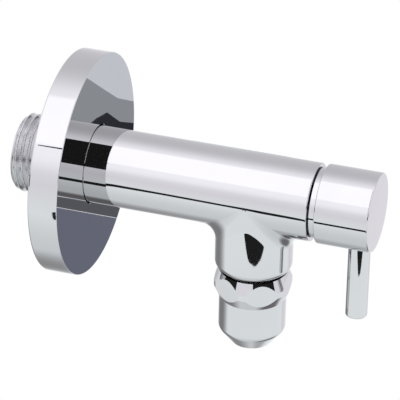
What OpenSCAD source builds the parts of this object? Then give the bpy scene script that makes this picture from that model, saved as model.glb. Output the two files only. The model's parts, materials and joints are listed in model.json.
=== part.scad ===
// Angle valve: a chromed tube body with a wall rosette, a ceramic-disc headwork that a cap
// with a lever pin turns, and a compression outlet that points down.
// Millimetres. The body's axis is Y, the wall is the plane y = 0, and the handle faces -Y.
// A distance in front of the wall is called s, and a depth below the body's axis is called d.

/* [Body] */
// Outer diameter of the body tube
tube_d = 20.6; // [20.4:0.1:24]
// Length of the body tube in front of the wall
tube_l = 68.4; // [56:0.1:90]
// Chamfer on the tube's front end
tube_chamfer = 0.3; // [0.2:0.1:0.8]
// Diameter of the inlet bore
inlet_bore_d = 14; // [11:0.1:15]
// Diameter of the bore that holds the ceramic discs' cage
chamber_d = 15.2; // [15:0.1:15.6]
// Diameter of the throat under the seat
throat_d = 9.6; // [7:0.1:10.2]
// Length of the throat under the seat
throat_l = 4; // [2:0.1:8]

/* [Inlet thread] */
// Crest diameter of the inlet thread (G 1/2)
inlet_thread_d = 20.955; // [20.9:0.005:20.98]
// Length of the inlet thread behind the wall plane
inlet_thread_l = 12.6; // [8:0.1:20]
// Chamfer at the inlet thread's end
inlet_chamfer = 1.1; // [0.4:0.1:1.6]

/* [Outlet branch] */
// Distance of the outlet's axis behind the tube's front end
outlet_back = 16.5; // [15.4:0.1:22]
// Outer diameter of the branch
branch_d = 20.4; // [19.6:0.1:20.4]
// Depth of the branch's lower end below the body's axis
branch_l = 22.2; // [20:0.1:30]
// Rounding of the branch's lower edge
branch_round = 2.2; // [0.5:0.1:2.4]
// Rounding in the corners between tube and branch
crotch_round = 4.5; // [1:0.1:6]
// Diameter of the branch's core
core_d = 14; // [11:0.1:15]
// Wall between the core's end and the branch's lower end
core_floor = 4; // [2.5:0.1:6]
// Diameter of the water way through the spigot
spigot_bore_d = 8; // [6:0.1:9.4]
// Crest diameter of the outlet thread (G 3/8)
outlet_thread_d = 16.66; // [16.4:0.01:16.7]
// Diameter of the neck above the outlet thread
outlet_neck_d = 15; // [14:0.1:15.8]
// Length of the neck above the outlet thread
outlet_neck_l = 1; // [0.6:0.1:2]
// Length of the outlet thread
outlet_thread_l = 7; // [5:0.1:8]
// Width of the conical mouth that seats the compression ring
mouth_d = 13; // [12.6:0.1:14]
// Depth of the conical mouth
mouth_l = 2; // [1.6:0.1:3]
// Length of the supply tube's socket in the spigot
socket_l = 6.4; // [4:0.1:7]

/* [Compression nut] */
// Diameter of the supply tube
supply_tube_d = 10; // [8:0.1:10.4]
// Width across the nut's flats
nut_flats = 19; // [18.8:0.1:20.2]
// Height of the nut's hexagon
nut_hex_l = 8.1; // [7.5:0.1:12]
// Largest diameter across the chamfered corners
nut_corner_d = 20.9; // [20.6:0.1:21.9]
// Height of the part of the corners that the chamfers leave
nut_corner_l = 1.6; // [0.2:0.1:3]
// Diameter of the nut's upper face
nut_face_d = 18.5; // [17.6:0.1:18.8]
// Outer diameter of the nut's sleeve
sleeve_d = 17.9; // [17.6:0.1:18.6]
// Length of the sleeve's straight part
sleeve_l = 9.6; // [6:0.1:20]
// Length of the cone at the sleeve's end
sleeve_cone_l = 4.3; // [2:0.1:6]
// Diameter of the cone's end face
sleeve_end_d = 11.2; // [11:0.1:15]
// Length of the cone that presses the compression ring
press_cone_l = 2.6; // [2.4:0.1:4]

/* [Rosette] */
// Outer diameter of the rosette
rosette_d = 59.5; // [45:0.1:80]
// Thickness of the rosette
rosette_l = 8; // [7:0.1:14]
// Wall of the rosette
rosette_wall = 1.4; // [0.8:0.1:2]
// Rounding of the rosette's edges
rosette_round = 0.5; // [0.2:0.1:0.8]
// Outer diameter of the collar round the tube
collar_d = 27; // [26:0.1:32]
// Length of the collar
collar_l = 5.6; // [5:0.1:6.4]
// Thickness of the grip ring's section
grip_d = 1.5; // [1.1:0.1:1.8]

/* [Headwork] */
// Diameter of the headwork's thread (M 16)
head_thread_d = 16; // [15.8:0.1:16.2]
// Diameter of the housing's flange
flange_d = 17.6; // [17.2:0.1:17.8]
// Depth of the flange's seat inside the tube
flange_seat_l = 2; // [1.8:0.1:3]
// Height of the flange above the tube's end
flange_rise = 0.8; // [0.4:0.1:1.2]
// Thickness of the housing O-ring's section
head_ring_d = 1; // [0.8:0.1:1.1]
// Width across the flats of the housing's hexagon
head_flats = 14; // [13:0.1:14.2]
// Height of the housing's hexagon
head_hex_l = 3; // [2.6:0.1:3.4]
// Outer diameter of the cage round the discs
cage_d = 14.2; // [14:0.1:14.6]
// Inner diameter of the cage
cage_bore_d = 12.6; // [12.5:0.1:12.8]
// Distance from the outlet's axis back to the seat
seat_back = 7.7; // [7:0.1:9]
// Length of the cage from the seat
cage_l = 14; // [13.6:0.1:14.4]
// Width of the cage's two windows
window_w = 9; // [6:0.1:9.6]
// Length of the cage's two windows
window_l = 5.4; // [4:0.1:5.6]
// Width of the keys that hold the fixed disc
key_w = 2.4; // [1.6:0.1:3]
// Thickness of each ceramic disc
disc_l = 2.2; // [1.6:0.1:2.3]
// Angle of each of a disc's two openings
disc_opening = 80; // [60:1:86]
// Radius of the web at a disc's centre
disc_web_r = 1; // [0.6:0.1:1.6]
// Width of the rim round a disc's openings
disc_rim = 1.4; // [1.3:0.1:2]
// Thickness of the seat seal
seal_l = 1.8; // [1.4:0.1:2]
// Width of the seat seal's rubber
seal_w = 1; // [0.7:0.1:1.2]
// Wall of the seat seal's support ring
support_w = 0.6; // [0.3:0.1:0.8]

/* [Spindle] */
// Diameter of the spindle
spindle_d = 8; // [7.4:0.1:8.2]
// Thickness of the spindle's foot plate
foot_l = 1; // [0.7:0.1:1.2]
// Width of the spindle's two drive legs
leg_w = 2.4; // [1.6:0.1:3]
// Radial thickness of the drive legs
leg_t = 1.3; // [1:0.1:1.5]
// Thickness of the slide washer
washer_l = 0.6; // [0.4:0.1:0.8]
// Thickness of the spindle O-rings' section
spindle_ring_d = 1.2; // [0.9:0.1:1.4]
// Distance between the two spindle O-rings
spindle_ring_gap = 4; // [2.6:0.1:5]
// Number of splines
spline_n = 20; // [12:1:24]
// Depth of the splines
spline_depth = 0.4; // [0.2:0.05:0.5]
// Outer diameter of the stop ring's hub
stop_hub_d = 10.4; // [9.6:0.1:10.8]
// Outer diameter of the stop lugs
stop_lug_d = 14.2; // [13.6:0.1:14.4]
// Height of the stop lugs
stop_l = 1.8; // [1.4:0.1:2]
// Quarter turn of the handle
turn_angle = 90; // [60:1:90]
// Thickness of the circlip
circlip_l = 0.7; // [0.5:0.1:0.8]
// Outer diameter of the circlip
circlip_d = 10; // [9:0.1:11]

/* [Handle] */
// Outer diameter of the cap
cap_d = 20.9; // [20.4:0.1:24]
// Length of the cap
cap_l = 14.3; // [13:0.1:20]
// Chamfer on the cap's back edge
cap_chamfer = 0.3; // [0.2:0.1:0.8]
// Rounding of the cap's front edge
cap_round = 0.4; // [0.2:0.1:1]
// Diameter of the cap's cavity
cap_bore_d = 18.6; // [18.4:0.1:19]
// Thickness of the cap's front wall above the spindle
cap_front = 1.8; // [1.2:0.1:2.4]
// Length of the splined part of the cap
cap_spline_l = 5.6; // [5:0.1:5.8]
// Width of the recess between the tube and the cap
recess_l = 1.9; // [1.4:0.1:3]
// Length of the cover ring's lip inside the cap
lip_l = 2; // [1:0.1:3]
// Distance of the lever pin's axis from the cap's front face
pin_s = 4.3; // [3.8:0.1:4.5]
// Diameter of the lever pin
pin_d = 5.8; // [5.4:0.1:6]
// Depth of the lever pin's end below the body's axis
pin_end = 31.3; // [24:0.1:50]
// Rounding of the lever pin's end
pin_round = 0.4; // [0.1:0.1:1]
// Depth of the pin's seat in the cap
pin_seat = 0.8; // [0.5:0.1:1.2]
// Diameter of the lever pin's stud (M 5)
stud_d = 5; // [3:0.1:5]

/* [Clearances] */
// Radial gap of threads that are drawn plain
thread_gap = 0.05; // [0.03:0.01:0.1]
// Radial gap of parts that turn or slide in each other
running_gap = 0.05; // [0.03:0.01:0.08]
// Radial gap between the tube and the rosette
rosette_gap = 0.25; // [0.2:0.01:0.4]
// Gap between the faces of parts that turn against each other
face_gap = 0.02; // [0.01:0.01:0.05]
// Gap between the branch and the nut
nut_gap = 0.3; // [0.2:0.05:0.6]

/* [Hidden] */
$fn = 96;
over = 1;                   // overshoot of a cut past the face it opens
arc_steps = 5;              // straight steps in a small rounding
root_land = 0.4;            // plain land between two turned features

chrome = [0.82, 0.83, 0.85];
brass = [0.80, 0.66, 0.38];
rubber = [0.10, 0.10, 0.11];
ceramic = [0.93, 0.91, 0.86];
steel = [0.62, 0.63, 0.65];
plastic = [0.90, 0.90, 0.88];

tube_r = tube_d / 2;
branch_r = branch_d / 2;
cap_r = cap_d / 2;

// Places along the body, as distances in front of the wall
outlet_s = tube_l - outlet_back;
seat_s = outlet_s - seat_back;
disc_s = seat_s + seal_l;
turn_s = disc_s + disc_l + face_gap;
cage_end_s = seat_s + cage_l;
foot_s = cage_end_s - washer_l - foot_l - face_gap;
flange_s = tube_l - flange_seat_l;
hex_s = tube_l + flange_rise;
neck_s = hex_s + head_hex_l;
stop_s = neck_s + root_land + root_land;
circlip_s = stop_s + stop_l + face_gap + face_gap;
cap_s = tube_l + recess_l;
cap_end_s = cap_s + cap_l;
spindle_end_s = cap_end_s - cap_front - root_land;
spline_s = spindle_end_s - cap_spline_l + root_land;
ring_s = (cage_end_s + flange_s) / 2;

// Places along the outlet, as depths below the body's axis
thread_d0 = branch_l + outlet_neck_l;
spigot_end = thread_d0 + outlet_thread_l;
mouth_top = spigot_end - mouth_l;
socket_top = mouth_top - socket_l;
nut_top = branch_l + nut_gap;
nut_hex_end = nut_top + nut_hex_l;
press_top = spigot_end + root_land;
press_end = press_top + press_cone_l;
sleeve_end = nut_hex_end + sleeve_l;
nut_end = sleeve_end + sleeve_cone_l;

foot_r = cage_bore_d / 2 - 6 * running_gap;
leg_end_x = sqrt(pow(foot_r, 2) - pow(leg_w / 2, 2)) - running_gap;
tube_hole_r = supply_tube_d / 2 + 2 * running_gap;
stop_lug = (180 - turn_angle) / 2 - 1;

// Points of an arc round [x, y], from angle a0 to angle a1
function arc(x, y, r, a0, a1) =
    [for (i = [0:arc_steps]) let (a = a0 + (a1 - a0) * i / arc_steps) [x + r * cos(a), y + r * sin(a)]];

// Outline of splines whose tips lie at radius r
function spline_points(r) = [
    for (i = [0:spline_n - 1], k = [[-0.32, 1], [-0.12, 0], [0.12, 0], [0.32, 1]])
        let (a = 360 / spline_n * (i + k[0]), q = r - spline_depth * k[1]) [q * cos(a), q * sin(a)]
];

// Stands a piece that is drawn upwards along the body, from the wall to the handle
module along_body() rotate([90, 0, 0]) children();

// Points a piece that is drawn upwards down along the outlet
module along_outlet() translate([0, -outlet_s, 0]) rotate([180, 0, 0]) children();

// A turned shape from an outline of [radius, height] points
module turned(outline) rotate_extrude() polygon(outline);

// A flat ring between two heights
module ring(r_out, r_in, z0, z1) {
    difference() {
        translate([0, 0, z0]) cylinder(r = r_out, h = z1 - z0);
        translate([0, 0, z0 - over]) cylinder(r = r_in, h = z1 - z0 + 2 * over);
    }
}

// A ring with a round section
module o_ring(r_mid, section_d, z) {
    translate([0, 0, z]) rotate_extrude() translate([r_mid, 0]) circle(d = section_d);
}

// A sector of a ring, centred on the angle a
module sector(r_out, r_in, z0, z1, angle, a) {
    rotate([0, 0, a - angle / 2]) rotate_extrude(angle = angle)
        translate([r_in, z0]) square([r_out - r_in, z1 - z0]);
}

// One corner between tube and branch, filled as a ball rolls along it. Each section holds an
// inner point, and the arc between the ball's two contacts, run on a little below both skins.
crotch_steps = 26;          // sections along the corner
crotch_arc = 6;             // steps across the rounding
crotch_first = 14;          // angle of the first section, where the corner has run out
crotch_dip = 6;             // angle by which the arc runs on below each skin
crotch_core = 0.8;          // place of the inner point, as a share of the skins' radii

function ball_centre(a) = let (x = (branch_r + crotch_round) * cos(a))
    [x, (branch_r + crotch_round) * sin(a), sqrt(pow(tube_r + crotch_round, 2) - x * x)];

function crotch_section(a) =
    let (
        c = ball_centre(a),
        u = [-cos(a), -sin(a), 0],
        v = [-c[0], 0, -c[2]] / (tube_r + crotch_round),
        bend = acos(u * v),
        w = (v - u * cos(bend)) / sin(bend),
        core = crotch_core * branch_r * [cos(a), sin(a)]
    )
    concat(
        [[core[0], core[1], crotch_core * sqrt(pow(tube_r, 2) - pow(branch_r * cos(a), 2))]],
        [for (i = [0:crotch_arc])
            let (t = -crotch_dip + (bend + 2 * crotch_dip) * i / crotch_arc)
            c + crotch_round * (u * cos(t) + w * sin(t))]
    );

module crotch_fillet() {
    n = crotch_arc + 2;
    span = 180 - 2 * crotch_first;
    sections = [for (i = [0:crotch_steps]) crotch_section(crotch_first + span * i / crotch_steps)];
    points = [for (s = sections, p = s) p];
    sides = [
        for (i = [0:crotch_steps - 1], j = [0:n - 1])
            let (a = i * n + j, b = i * n + (j + 1) % n)
            each [[a, a + n, b], [b, a + n, b + n]]
    ];
    first = [for (j = [1:n - 2]) [0, j, j + 1]];
    last = [for (j = [1:n - 2]) [0, j + 1, j] + crotch_steps * n * [1, 1, 1]];
    polyhedron(points, concat(sides, first, last), convexity = 4);
}

module valve_body() {
    inlet_r = inlet_thread_d / 2;
    skin = [
        [0, -inlet_thread_l], [inlet_r - inlet_chamfer, -inlet_thread_l],
        [inlet_r, -inlet_thread_l + inlet_chamfer], [inlet_r, 0], [tube_r, 0],
        [tube_r, tube_l - tube_chamfer], [tube_r - tube_chamfer, tube_l], [0, tube_l]
    ];
    inlet_r_in = inlet_bore_d / 2;
    thread_r = head_thread_d / 2 + thread_gap;
    flange_r = flange_d / 2 + thread_gap;
    bore = [
        [0, -inlet_thread_l - over], [inlet_r_in, -inlet_thread_l - over],
        [inlet_r_in, seat_s - throat_l], [throat_d / 2, seat_s - throat_l], [throat_d / 2, seat_s],
        [chamber_d / 2, seat_s], [chamber_d / 2, cage_end_s + root_land],
        [thread_r, cage_end_s + root_land], [thread_r, flange_s], [flange_r, flange_s],
        [flange_r, tube_l + over], [0, tube_l + over]
    ];
    spigot_r = outlet_thread_d / 2;
    branch = concat(
        [[0, 0], [branch_r, 0]],
        arc(branch_r - branch_round, branch_l - branch_round, branch_round, 0, 90),
        [[outlet_neck_d / 2, branch_l], [outlet_neck_d / 2, thread_d0],
         [spigot_r, thread_d0], [spigot_r, spigot_end], [0, spigot_end]]
    );
    way = [
        [0, 0], [core_d / 2, 0], [core_d / 2, branch_l - core_floor - root_land],
        [spigot_bore_d / 2, branch_l - core_floor], [spigot_bore_d / 2, socket_top],
        [tube_hole_r, socket_top], [tube_hole_r, mouth_top], [mouth_d / 2, spigot_end],
        [mouth_d / 2, spigot_end + over], [0, spigot_end + over]
    ];
    color(chrome) difference() {
        union() {
            along_body() turned(skin);
            along_outlet() turned(branch);
            along_outlet() for (side = [0, 180]) rotate([0, 0, side]) crotch_fillet();
        }
        along_body() turned(bore);
        along_outlet() turned(way);
    }
}

module wall_rosette() {
    r = rosette_d / 2;
    hole_r = tube_r + rosette_gap;
    dish = concat(
        [[hole_r, rosette_l - collar_l], [hole_r, rosette_l]],
        arc(r - rosette_round, rosette_l - rosette_round, rosette_round, 90, 0),
        arc(r - rosette_round, rosette_round, rosette_round, 0, -90),
        [[r - rosette_wall, 0], [r - rosette_wall, rosette_l - rosette_wall],
         [collar_d / 2, rosette_l - rosette_wall], [collar_d / 2, rosette_l - collar_l]]
    );
    groove_r = tube_r + running_gap + grip_d + running_gap;
    color(chrome) along_body() difference() {
        turned(dish);
        ring(groove_r, tube_r, rosette_l - collar_l / 2 - grip_d / 2, rosette_l - collar_l / 2 + grip_d / 2);
    }
}

module rosette_grip_ring() {
    r_mid = tube_r + running_gap + grip_d / 2;
    color(rubber) along_body() o_ring(r_mid, grip_d, rosette_l - collar_l / 2);
}

module headwork_housing() {
    thread_r = head_thread_d / 2;
    flange_r = flange_d / 2;
    lug_r = stop_lug_d / 2;
    groove_s = flange_s + (flange_seat_l - head_ring_d) / 2;
    cage_s = seat_s + root_land;
    window_s = turn_s + disc_l + root_land;
    color(brass) along_body() difference() {
        union() {
            turned([
                [0, cage_s], [cage_d / 2, cage_s], [cage_d / 2, cage_end_s + root_land],
                [thread_r, cage_end_s + root_land], [thread_r, flange_s], [flange_r, flange_s],
                [flange_r, hex_s], [0, hex_s]
            ]);
            translate([0, 0, hex_s]) cylinder(d = head_flats / cos(30), h = head_hex_l, $fn = 6);
            translate([0, 0, neck_s]) cylinder(r = lug_r + root_land / 2, h = root_land);
            for (a = [0, 180])
                sector(lug_r, (stop_hub_d / 2) + running_gap, neck_s, stop_s + stop_l, stop_lug, a);
        }
        translate([0, 0, seat_s - over]) cylinder(d = cage_bore_d, h = cage_end_s - seat_s + over);
        translate([0, 0, seat_s]) cylinder(r = spindle_d / 2 + running_gap, h = cap_end_s - seat_s);
        ring(flange_r + over, flange_r - head_ring_d, groove_s, groove_s + head_ring_d);
        translate([-window_w / 2, -flange_r, window_s]) cube([window_w, 2 * flange_r, window_l]);
        translate([-flange_r, -key_w / 2 - running_gap, seat_s])
            cube([2 * flange_r, key_w + 2 * running_gap, disc_s + disc_l - seat_s]);
    }
}

module headwork_o_ring() {
    color(rubber) along_body()
        o_ring(flange_d / 2 - head_ring_d / 2, head_ring_d, flange_s + flange_seat_l / 2);
}

module cover_ring() {
    r_out = cap_bore_d / 2 - running_gap;
    flange_r = flange_d / 2 + thread_gap;
    hex_r = head_flats / cos(30) / 2 + running_gap;
    lip_end = cap_s + lip_l;
    color(chrome) along_body() turned([
        [flange_r, tube_l], [r_out, tube_l], [r_out, lip_end], [hex_r, lip_end],
        [hex_r, hex_s + face_gap], [flange_r, hex_s + face_gap]
    ]);
}

module spindle() {
    shaft_r = spindle_d / 2;
    relief_r = shaft_r - spline_depth - thread_gap;
    groove_r = shaft_r - spindle_ring_d;
    leg_s = turn_s + root_land / 2;
    color(brass) along_body() {
        difference() {
            turned([
                [0, foot_s], [foot_r, foot_s], [foot_r, foot_s + foot_l],
                [shaft_r, foot_s + foot_l], [shaft_r, neck_s], [relief_r, neck_s],
                [relief_r, stop_s], [0, stop_s]
            ]);
            for (k = [-0.5, 0.5])
                ring(shaft_r + over, groove_r, ring_s + k * spindle_ring_gap - spindle_ring_d / 2 - running_gap,
                     ring_s + k * spindle_ring_gap + spindle_ring_d / 2 + running_gap);
        }
        difference() {
            translate([0, 0, neck_s + root_land])
                linear_extrude(spindle_end_s - neck_s - root_land) polygon(spline_points(shaft_r));
            ring(shaft_r + over, shaft_r - spline_depth - circlip_l / 2, circlip_s, circlip_s + circlip_l);
        }
        for (a = [0, 180]) rotate([0, 0, a])
            translate([leg_end_x - leg_t, -leg_w / 2, leg_s])
                cube([leg_t, leg_w, foot_s + foot_l / 2 - leg_s]);
    }
}

// O-ring on the spindle, k ring gaps in front of the middle of its two rings
module spindle_o_ring(k) {
    r_mid = (spindle_d - spindle_ring_d) / 2;
    color(rubber) along_body() o_ring(r_mid, spindle_ring_d, ring_s + k * spindle_ring_gap);
}

module spindle_o_ring_lower() spindle_o_ring(-0.5);

module spindle_o_ring_upper() spindle_o_ring(0.5);

module spindle_circlip() {
    r_in = spindle_d / 2 - spline_depth - circlip_l / 2;
    color(steel) along_body() difference() {
        ring(circlip_d / 2, r_in, circlip_s, circlip_s + circlip_l);
        translate([-r_in * 0.6, 0, circlip_s - over]) cube([r_in * 1.2, circlip_d, circlip_l + 2 * over]);
    }
}

module slide_washer() {
    r_out = cage_bore_d / 2 - 2 * running_gap;
    color(plastic) along_body() ring(r_out, spindle_d / 2 + running_gap, cage_end_s - washer_l, cage_end_s);
}

module stop_ring() {
    hub_r = stop_hub_d / 2;
    color(brass) along_body() difference() {
        union() {
            translate([0, 0, stop_s]) cylinder(r = hub_r, h = stop_l);
            for (a = [0, 180])
                sector(stop_lug_d / 2, hub_r - root_land, stop_s, stop_s + stop_l, stop_lug, a + turn_angle / 2 + 90);
        }
        translate([0, 0, stop_s - over])
            linear_extrude(stop_l + 2 * over) polygon(spline_points(spindle_d / 2 + running_gap));
    }
}

// Ceramic disc with two openings that face up and down when the valve is open
module ceramic_disc(z) {
    disc_r = cage_bore_d / 2 - 2 * running_gap;
    difference() {
        translate([0, 0, z]) cylinder(r = disc_r, h = disc_l);
        for (a = [90, 270])
            sector(disc_r - disc_rim, disc_web_r, z - over, z + disc_l + over, disc_opening, a);
    }
}

module rotating_disc() {
    notch_r = leg_end_x - leg_t - running_gap;
    notch_w = leg_w + 2 * running_gap;
    color(ceramic) along_body() difference() {
        ceramic_disc(turn_s);
        for (a = [0, 180]) rotate([0, 0, a])
            translate([notch_r, -notch_w / 2, turn_s - over]) cube([leg_t + over, notch_w, disc_l + 2 * over]);
    }
}

module fixed_disc() {
    color(ceramic) along_body() {
        ceramic_disc(disc_s);
        for (a = [0, 180]) rotate([0, 0, a]) intersection() {
            translate([cage_bore_d / 2 - disc_rim, -key_w / 2, disc_s]) cube([2 * disc_rim, key_w, disc_l]);
            translate([0, 0, disc_s]) cylinder(d = cage_d, h = disc_l);
        }
    }
}

module seat_seal() {
    r_out = cage_bore_d / 2 - running_gap;
    color(rubber) along_body() ring(r_out, r_out - seal_w, seat_s, disc_s);
}

module seat_support_ring() {
    r_out = cage_bore_d / 2 - running_gap - seal_w;
    color(steel) along_body() ring(r_out, r_out - support_w, seat_s + root_land, disc_s);
}

module handle_cap() {
    bore_r = cap_bore_d / 2;
    pin_y = cap_end_s - pin_s;
    color(chrome) along_body() difference() {
        turned(concat(
            [[0, cap_s], [cap_r - cap_chamfer, cap_s], [cap_r, cap_s + cap_chamfer]],
            arc(cap_r - cap_round, cap_end_s - cap_round, cap_round, 0, 90),
            [[0, cap_end_s]]
        ));
        translate([0, 0, cap_s - over]) cylinder(r = bore_r, h = spline_s - cap_s + over);
        translate([0, 0, spline_s - over])
            linear_extrude(cap_spline_l + over) polygon(spline_points(spindle_d / 2 + running_gap));
        translate([0, 0, pin_y]) rotate([90, 0, 0]) {
            cylinder(r = stud_d / 2 + thread_gap, h = cap_r);
            translate([0, 0, cap_r - pin_seat]) cylinder(r = pin_d / 2 + running_gap, h = pin_seat + over);
        }
    }
}

module lever_pin() {
    r = pin_d / 2;
    color(chrome) along_body() translate([0, 0, cap_end_s - pin_s]) rotate([90, 0, 0])
        turned(concat(
            [[0, spindle_d / 2 + running_gap], [stud_d / 2, spindle_d / 2 + running_gap],
             [stud_d / 2, cap_r - pin_seat], [r, cap_r - pin_seat]],
            arc(r - pin_round, pin_end - pin_round, pin_round, 0, 90),
            [[0, pin_end]]
        ));
}

module compression_nut() {
    corner_r = nut_corner_d / 2;
    mid = (nut_top + nut_hex_end) / 2;
    thread_r = outlet_thread_d / 2 + thread_gap;
    color(chrome) along_outlet() difference() {
        intersection() {
            translate([0, 0, nut_top - over])
                cylinder(d = nut_flats / cos(30), h = nut_end - nut_top + 2 * over, $fn = 6);
            turned([
                [0, nut_top], [nut_face_d / 2, nut_top], [corner_r, mid - nut_corner_l / 2],
                [corner_r, mid + nut_corner_l / 2], [sleeve_d / 2, nut_hex_end],
                [sleeve_d / 2, sleeve_end], [sleeve_end_d / 2, nut_end], [0, nut_end]
            ]);
        }
        turned([
            [0, nut_top - over], [thread_r, nut_top - over], [thread_r, press_top], [mouth_d / 2, press_top],
            [tube_hole_r, press_end], [tube_hole_r, nut_end + over], [0, nut_end + over]
        ]);
    }
}

module compression_ring() {
    ring_top = mouth_top + mouth_l / 2;
    ring_end = press_end - press_cone_l / 4;
    ring_r = mouth_d / 2 - root_land / 2;
    end_r = tube_hole_r + root_land / 2;
    color(brass) along_outlet() turned([
        [tube_hole_r, ring_top], [end_r, ring_top], [ring_r, press_top],
        [end_r, ring_end], [tube_hole_r, ring_end]
    ]);
}

valve_body();
wall_rosette();
rosette_grip_ring();
headwork_housing();
headwork_o_ring();
cover_ring();
spindle();
spindle_o_ring_lower();
spindle_o_ring_upper();
spindle_circlip();
slide_washer();
stop_ring();
rotating_disc();
fixed_disc();
seat_seal();
seat_support_ring();
handle_cap();
lever_pin();
compression_nut();
compression_ring();
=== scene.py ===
# %% [markdown]
# # A chromed angle valve
#
# An angle valve shuts the water off behind a tap. It screws into the wall, a round rosette hides
# the hole, and a cap with a lever pin turns two ceramic discs inside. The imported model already
# holds every piece at its real size. This lesson gives the pieces that show their fine form and
# their finish, and it starts by loading that model, which stays fixed from here on.

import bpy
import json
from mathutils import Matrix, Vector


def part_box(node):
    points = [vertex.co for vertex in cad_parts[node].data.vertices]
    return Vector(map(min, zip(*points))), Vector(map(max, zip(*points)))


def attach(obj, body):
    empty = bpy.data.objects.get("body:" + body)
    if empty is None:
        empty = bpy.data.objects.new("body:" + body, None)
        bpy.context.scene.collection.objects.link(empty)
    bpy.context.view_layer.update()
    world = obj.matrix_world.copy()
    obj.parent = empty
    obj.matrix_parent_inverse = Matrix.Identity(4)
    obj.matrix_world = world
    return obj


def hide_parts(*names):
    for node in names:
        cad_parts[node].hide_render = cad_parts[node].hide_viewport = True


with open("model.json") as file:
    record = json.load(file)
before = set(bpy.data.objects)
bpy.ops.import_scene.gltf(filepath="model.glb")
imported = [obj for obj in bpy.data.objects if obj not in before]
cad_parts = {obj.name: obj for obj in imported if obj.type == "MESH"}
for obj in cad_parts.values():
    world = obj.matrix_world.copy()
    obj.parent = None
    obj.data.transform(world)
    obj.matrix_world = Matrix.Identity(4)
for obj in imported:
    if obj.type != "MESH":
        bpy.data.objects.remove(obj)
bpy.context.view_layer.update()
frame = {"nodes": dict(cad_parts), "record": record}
record = frame["record"]

# %% Units and the other modules
import json
import math

import bmesh
import bpy
from mathutils import Matrix, Vector

MM = 0.001

# %% [markdown]
# ## Where things are
#
# The body's axis is Y and the wall is the plane y = 0. Along the body a place is called s, the
# distance in front of the wall, and along the outlet it is called d, the depth below the body's
# axis. Two short functions turn such places into points, and the places come from the boxes of
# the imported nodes, so nothing has to be fitted by eye.

# %% Places read from the frame
mounts = {mount["name"]: mount for mount in record["mounts"]}
outlet_y = mounts["outlet_tube"]["pos_m"][1]
tube_end = -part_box("valve_body")[0].y
thread_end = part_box("valve_body")[1].y
thread_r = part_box("valve_body")[1].x
rosette_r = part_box("wall_rosette")[1].x
rosette_front = -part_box("wall_rosette")[0].y
cap_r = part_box("handle_cap")[1].x
cap_back = -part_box("handle_cap")[1].y
cap_front = -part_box("handle_cap")[0].y
pin_low, pin_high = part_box("lever_pin")
pin_y = (pin_low.y + pin_high.y) / 2
nut_top = -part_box("compression_nut")[1].z
nut_end = -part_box("compression_nut")[0].z


def on_body(radius, s):
    """A point beside the body's axis."""
    return Vector((radius, -s, 0))


def on_outlet(radius, d):
    """A point beside the outlet's axis."""
    return Vector((radius, outlet_y, -d))


def on_pin(radius, d):
    """A point beside the lever pin's axis."""
    return Vector((radius, pin_y, -d))


print("tube ends at", round(tube_end / MM, 2), "mm, outlet at", round(-outlet_y / MM, 2), "mm")

# %% [markdown]
# ## The camera
#
# The picture was taken from far away with a long lens, from the left, 30 degrees above the
# horizon, with the camera rolled by about a degree. A long lens keeps the tube's edges almost
# parallel. The camera is aimed at the middle of the picture, so no lens shift is needed.

# %% Camera
TURN = math.radians(-72.52)
HEIGHT = math.radians(29.53)
ROLL = math.radians(1.21)
DISTANCE = 724 * MM
LENS = 249.1
SEEN_POINT = Vector((0, -40, -8)) * MM
AIM_SIDE = -3.03 * MM
AIM_UP = 2.80 * MM

backward = Vector((math.sin(TURN) * math.cos(HEIGHT), -math.cos(TURN) * math.cos(HEIGHT), math.sin(HEIGHT)))
level = Vector((math.cos(TURN), math.sin(TURN), 0))
upward = backward.cross(level)
side = level * math.cos(ROLL) + upward * math.sin(ROLL)
top = upward * math.cos(ROLL) - level * math.sin(ROLL)
camera_place = SEEN_POINT + DISTANCE * backward
aim = SEEN_POINT + AIM_SIDE * side + AIM_UP * top

lens = bpy.data.cameras.new("camera")
lens.lens = LENS
lens.sensor_width = 36
camera = bpy.data.objects.new("camera", lens)
bpy.context.scene.collection.objects.link(camera)
camera.location = camera_place
look = (camera_place - aim).normalized()
across = top.cross(look).normalized()
camera.matrix_world = Matrix.Translation(camera_place) @ Matrix((across, look.cross(across), look)).transposed().to_4x4()
lens.clip_start = DISTANCE / 10
lens.clip_end = DISTANCE * 20
bpy.context.scene.camera = camera
print("camera at", [round(c, 3) for c in camera.location])

# %% [markdown]
# ## Helpers for modelling by hand
#
# Most of a valve is turned on a lathe. Blender's Spin operator is that lathe: one vertex is
# extruded into the outline, its corners are rounded with a vertex bevel, and the outline is spun
# once round the axis. An operator acts on everything selected, so each helper deselects first
# and then picks what it needs by its place.

# %% Selecting and editing
AROUND = 192
FINE = 1e-6


def edit(piece):
    """Opens one piece in edit mode, with nothing else selected."""
    bpy.ops.object.select_all(action="DESELECT")
    piece.select_set(True)
    bpy.context.view_layer.objects.active = piece
    bpy.ops.object.mode_set(mode="EDIT")


def done():
    bpy.ops.object.mode_set(mode="OBJECT")


def choose(piece, kind, test):
    """In edit mode, selects the vertices, edges or faces whose middle passes a test."""
    bpy.ops.mesh.select_mode(type=kind)
    bpy.ops.mesh.select_all(action="DESELECT")
    shape = bmesh.from_edit_mesh(piece.data)
    parts = {"VERT": shape.verts, "EDGE": shape.edges, "FACE": shape.faces}[kind]
    chosen = 0
    for part in parts:
        corners = [part] if kind == "VERT" else part.verts
        middle = sum((corner.co for corner in corners), Vector()) / len(corners)
        if test(middle):
            part.select_set(True)
            chosen += 1
    shape.select_flush_mode()
    bmesh.update_edit_mesh(piece.data)
    return chosen


def heal(piece):
    """Merges doubled vertices and turns every face outwards."""
    edit(piece)
    bpy.ops.mesh.select_all(action="SELECT")
    bpy.ops.mesh.remove_doubles(threshold=FINE)
    bpy.ops.mesh.normals_make_consistent(inside=False)
    done()


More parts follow.
